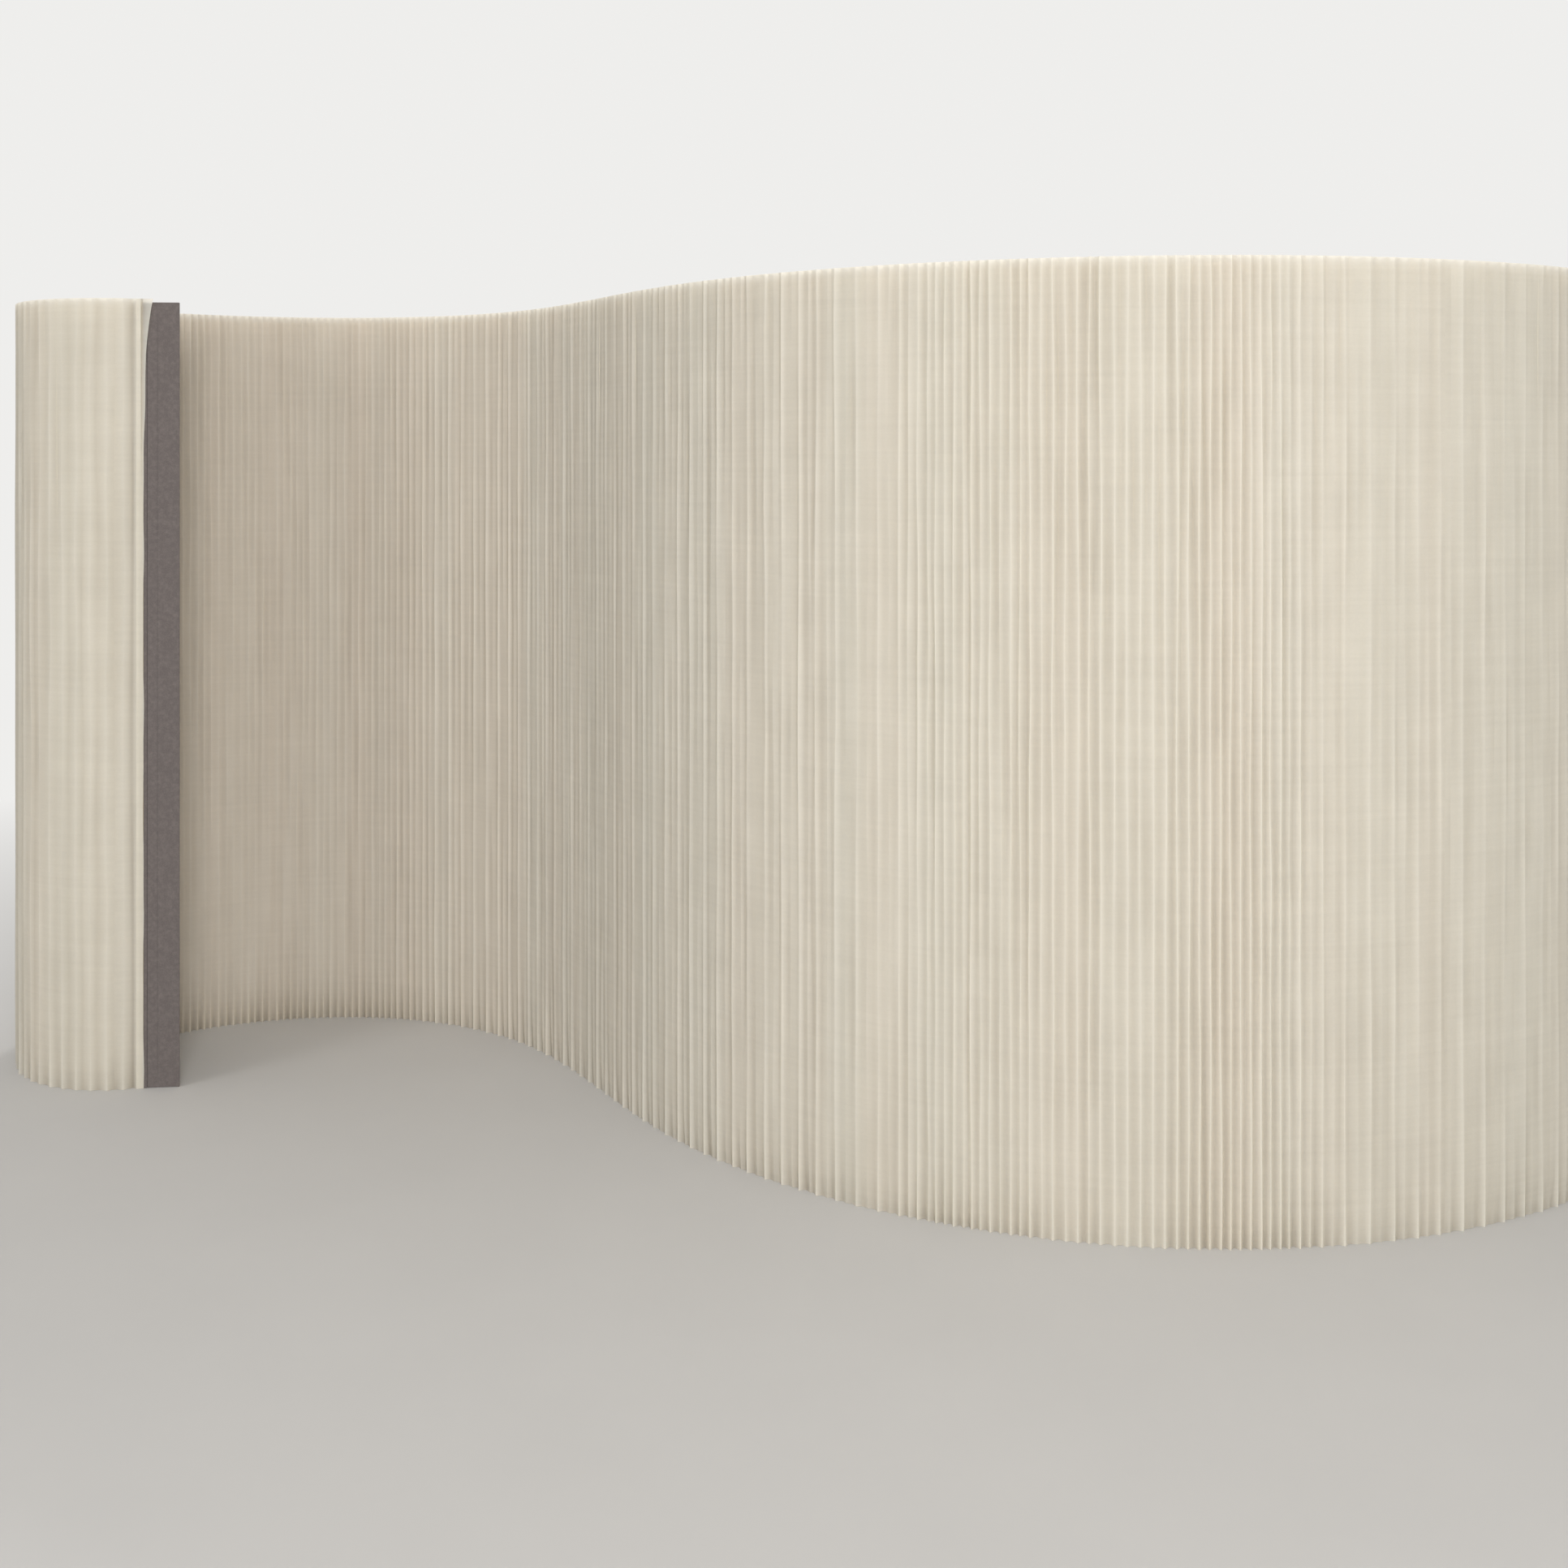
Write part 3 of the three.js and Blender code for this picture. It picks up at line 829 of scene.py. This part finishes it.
def makeTape(name, own, look):
    # a field of tiny raised dots, one for each hook or loop, with painted shade between them
    made, w = newMaterial(name)
    place = w.node("TexCoord", output="Object")
    dots = w.node("TexVoronoi", {"Vector": place, "Scale": 1 / own["dot"], "Randomness": look["uneven"]})
    worn = w.node("TexNoise", {"Vector": place, "Scale": look["wearScale"], "Detail": 3})
    lit = dots.shows(*look["dotShows"])
    # painted shade between the dots
    between = tuple(c * look["between"] for c in own["colour"])
    shader = w.node("BsdfPrincipled", {
        "Base Color": w.mix(lit * (1 - look["wear"]) + worn * look["wear"], between, own["colour"]),
        "Roughness": own["roughness"],
        "Normal": w.node("Bump", {
            "Height": lit, "Strength": look["bumpStrength"], "Distance": look["bumpHeight"],
        }),
    })
    return finishMaterial(made, shader, own["colour"])


def makeThread(look):
    made, w = newMaterial("sewing_thread")
    twist = w.node("TexWave", {
        "Vector": w.node("TexCoord", output="Object"), "Scale": look["twistScale"], "Distortion": 2.0,
        "Detail": 1,
    }, bands_direction="DIAGONAL")
    shader = w.node("BsdfPrincipled", {
        "Base Color": w.mix(twist, look["dark"], look["light"]), "Roughness": look["roughness"],
        "Normal": w.node("Bump", {
            "Height": twist, "Strength": look["bumpStrength"], "Distance": look["bumpHeight"],
        }),
    })
    return finishMaterial(made, shader, look["plain"])


def makeCard(look):
    # grey-brown board with flecks of fibre and a soft mottle
    made, w = newMaterial("end_card")
    place = w.node("TexCoord", output="Object")
    fleck = w.node("TexNoise", {"Vector": place, "Scale": look["fleckScale"], "Detail": 3})
    cloud = w.node("TexNoise", {"Vector": place, "Scale": look["cloudScale"], "Detail": 5})
    colour = w.mix(cloud, look["dark"], look["light"])
    colour = w.mix(fleck.shows(*look["fleckShows"]), colour, look["fleck"])
    shader = w.node("BsdfPrincipled", {
        "Base Color": colour, "Roughness": look["roughness"],
        "Normal": w.node("Bump", {
            "Height": fleck, "Strength": look["bumpStrength"], "Distance": look["bumpHeight"],
        }),
    })
    return finishMaterial(made, shader, look["plain"])


wool, thread, card = makeFelt(feltLook), makeThread(threadLook), makeCard(cardLook)
hookTape = makeTape("hook_tape", hookLook, tapeLook)
loopTape = makeTape("loop_tape", loopLook, tapeLook)


def stitchRow(name, place, o, a, towards, low, high):
    # stitches every few millimetres, each a thread along t from -1 to 1: its radius is 1 - 0.7 t^4 of the
    # thread's, and its middle rises 0.5 - 1.5 t^4 of it towards the outside, so that both ends sink in
    f = felt
    sides, rings = f["stitchSides"], f["stitchRings"]
    n = int((high - low) / f["stitchEvery"])
    z = low + (np.arange(n) + 0.5) * f["stitchEvery"] + draw.uniform(-f["stitchUneven"], f["stitchUneven"], n)
    t, turn = np.linspace(-1, 1, rings), np.arange(sides) * 2 * np.pi / sides
    thick = f["threadRadius"] * (1 - 0.7 * t ** 4)
    rise = f["threadRadius"] * (0.5 - 1.5 * t ** 4)
    aside = draw.uniform(-f["stitchAside"], f["stitchAside"], n)[:, None, None]
    localZ = z[:, None, None] + t[None, :, None] * f["stitchLong"] / 2 + 0 * turn
    localO = o + thick[None, :, None] * np.cos(turn) + aside
    localA = a + towards * (rise[None, :, None] + thick[None, :, None] * np.sin(turn)) + 0 * localZ
    points = place(localO, localA, localZ)
    ring = np.arange(n * rings * sides).reshape(n, rings, sides)
    on = np.roll(ring, -1, 2)
    quads = np.stack([ring[:, :-1], on[:, :-1], on[:, 1:], ring[:, 1:]], -1).reshape(-1, 4)
    caps = ring[:, 0, ::-1].tolist() + ring[:, -1].tolist()
    mesh = bpy.data.meshes.new(name)
    mesh.from_pydata(points.reshape(-1, 3).tolist(), [], quads.tolist() + caps)
    mesh.polygons.foreach_set("use_smooth", np.ones(len(mesh.polygons), bool))
    mesh.materials.append(thread)
    made = bpy.data.objects.new(name, mesh)
    bpy.context.scene.collection.objects.link(made)
    turnOutwards(mesh)
    return made


def makeFeltEnd(label, body):
    # the cover over the end board with its loop tape, and the flap with its seam and its hook tape
    f, half, t = felt, wall["thickness"] / 2, felt["thick"] / 2
    onEnd, onFlap = endFrame(label), flapFrame(label)
    r, tapeRound = f["round"], f["tapeRound"]
    low, high = f["tapeMargin"], f["height"] - f["tapeMargin"]

    coverTo, ledge = f["panelFrom"] + f["thick"], half - f["thick"]
    section = [(f["panelFrom"], -half), (coverTo, -half), (coverTo, ledge), (f["foldTop"], ledge),
               (f["foldTop"], half), (f["panelFrom"], half)]
    outline = roundedOutline(section, [r, r, f["innerRound"], f["innerRound"], r, r], f["coverSpacing"])
    panel = upright(f"felt_cover_{label}", outline, onEnd, 0.0, f["height"], r, f["coverRows"], wool)
    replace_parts(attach(panel, body), f"felt_panel_{label}")

    near, loopTo = f["foldAcross"] - f["tapeFromFold"], f["loopFrom"] + f["tapeThick"]
    far = near - f["tapeWidth"]
    section = [(f["loopFrom"], far), (loopTo, far), (loopTo, near), (f["loopFrom"], near)]
    outline = roundedOutline(section, [tapeRound] * 4, f["tapeSpacing"])
    loop = upright(f"loop_tape_{label}", outline, onEnd, low, high, tapeRound, f["loopRows"], loopTape)
    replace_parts(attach(loop, body), f"loop_strip_{label}")

    section = [(-t, -t), (f["flapWidth"], -t), (f["flapWidth"], t), (-t, t)]
    foldRound = t * f["foldRound"]
    outline = roundedOutline(section, [foldRound, r, r, foldRound], f["flapSpacing"])
    flap = upright(f"felt_closing_flap_{label}", outline, onFlap, 0.0, f["height"], r, f["rows"], wool,
                   groove=(f["stitchFromFold"], f["seam"], f["seamWidth"]))
    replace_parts(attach(flap, f"flap_{label}"), f"felt_flap_{label}")
    stitches = stitchRow(f"flap_stitches_{label}", onFlap, f["stitchFromFold"], -t + f["seam"], -1, low, high)
    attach(stitches, f"flap_{label}")

    start, end = f["tapeFromFold"], f["tapeFromFold"] + f["tapeWidth"]
    lowA, highA = t + f["tapeGap"], t + f["tapeGap"] + f["tapeThick"]
    section = [(start, lowA), (end, lowA), (end, highA), (start, highA)]
    outline = roundedOutline(section, [tapeRound] * 4, f["tapeSpacing"])
    hook = upright(f"hook_tape_{label}", outline, onFlap, low, high, tapeRound, f["rows"], hookTape)
    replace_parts(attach(hook, f"flap_{label}"), f"hook_strip_{label}")

    def onLoop(a, o, z):        # the tape faces outwards, so its stitches rise that way
        return onEnd(o, a, z)

    for name, a in (("a", near - f["loopStitchIn"]), ("b", far + f["loopStitchIn"])):
        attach(stitchRow(f"loop_stitches_{name}_{label}", onLoop, a, loopTo - f["loopStitchSunk"], 1,
                          low, high), body)

    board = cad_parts[f"end_board_{label}"]
    if board.material_slots:
        board.material_slots[0].material = card
    else:
        board.data.materials.append(card)


makeFeltEnd("left", "pack_01")
makeFeltEnd("right", "pack_14")
print("felt ends made")


# The last sheet's free edge, which curls out over the felt at its top corner.

lip = {
    "back": 0.012,          # how far back over the outer face it starts
    "edge": 0.0030,         # the sheet under it stands up in a lip here, just before the stack's end
    "lipHeight": 0.0024,
    "reach": 0.0035,        # how far its free edge passes the stack's end
    "curlFrom": 1.38, "curlReach": 0.006,
    "cornerFrom": 1.70, "cornerReach": 0.017, "cornerLift": 0.006,
    "freeLift": 0.0016,
    "wander": ((0.0009, 0.41, 1.0), (0.0006, 0.17, 0.0)),   # size, length and phase of its edge's waves
    "clear": 0.0004,        # above the sheet under it
    # painted highlight on the lip and painted shade in the groove behind it
    "paintedLipHighlight": 0.3, "grooveShadeFrom": 0.2, "paintedGrooveShade": 1.4,
    "tone": 0.5, "tint": -0.3,
    "uvApart": 0.11,
    "bendFrom": 0.004, "bendTo": 0.026,     # outwards from the last sheet
    "rows": 60, "risingRows": 6, "fallingRows": 4, "freeRows": 9,
}


def makeEndLeaf(label):
    # from its start to the lip the sheet rises by sin^2, drops into a groove at the stack's end by cos^2,
    # and then lifts with the 1.5th power of the way to its free edge, all of it more towards the top; its
    # colour has a painted highlight on the lip and painted shade in the groove, fading out to the free edge
    s0, outwards, side = endPlaces[label]
    p, half = lip, wall["thickness"] / 2
    z = wall["height"] * (1 - (1 - np.linspace(0, 1, p["rows"])) ** 1.5)[None]
    slow = np.clip((z - p["curlFrom"]) / (wall["height"] - p["curlFrom"]), 0, 1) ** 0.7
    corner = np.clip((z - p["cornerFrom"]) / (wall["height"] - p["cornerFrom"]), 0, 1) ** 1.6
    reach = p["reach"] + p["curlReach"] * slow + p["cornerReach"] * corner
    for size, length, phase in p["wander"]:
        reach = reach + size * np.sin(2 * np.pi * z / length + phase)
    rising = np.linspace(0, 1, p["risingRows"])[:, None]
    falling = np.linspace(0, 1, p["fallingRows"])[1:, None]
    free = np.linspace(0, 1, p["freeRows"])[1:, None]
    out = np.concatenate([
        -p["back"] + (p["back"] - p["edge"]) * rising + 0 * z,
        -p["edge"] * (1 - falling) + 0 * z,
        reach * free,
    ])
    lift = np.concatenate([
        p["clear"] * rising + p["lipHeight"] * slow * np.sin(np.pi / 2 * rising) ** 2,
        p["clear"] + p["lipHeight"] * slow * np.cos(np.pi / 2 * falling) ** 2,
        p["clear"] + (p["freeLift"] * slow + p["cornerLift"] * corner) * free ** 1.5,
    ])
    # painted highlight on the lip, painted shade in the groove that fades out to the free edge
    deep = slow * np.concatenate([
        -p["paintedLipHighlight"] * rising,
        p["grooveShadeFrom"] + (p["paintedGrooveShade"] - p["grooveShadeFrom"]) * falling,
        p["paintedGrooveShade"] * (1 - free) ** 2,
    ])
    leaf = joinGrids(f"last_sheet_edge_{label}", [{
        "points": placed(s0 + outwards * out, side * (half + lift), z),
        "uv": np.stack(np.broadcast_arrays(out + p["uvApart"], z), -1),
        "tone": np.full(len(out), p["tone"]), "tint": np.full(len(out), p["tint"]),
        "deep": deep, "flip": outwards * side > 0,
    }])
    place = endFrame(label)
    start = place(np.array(p["bendFrom"]), np.array(half), np.array(0.0)).tolist()
    end = place(np.array(p["bendTo"]), np.array(half), np.array(0.0)).tolist()
    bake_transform(leaf)


makeEndLeaf("left")
makeEndLeaf("right")
print("end leaves made")
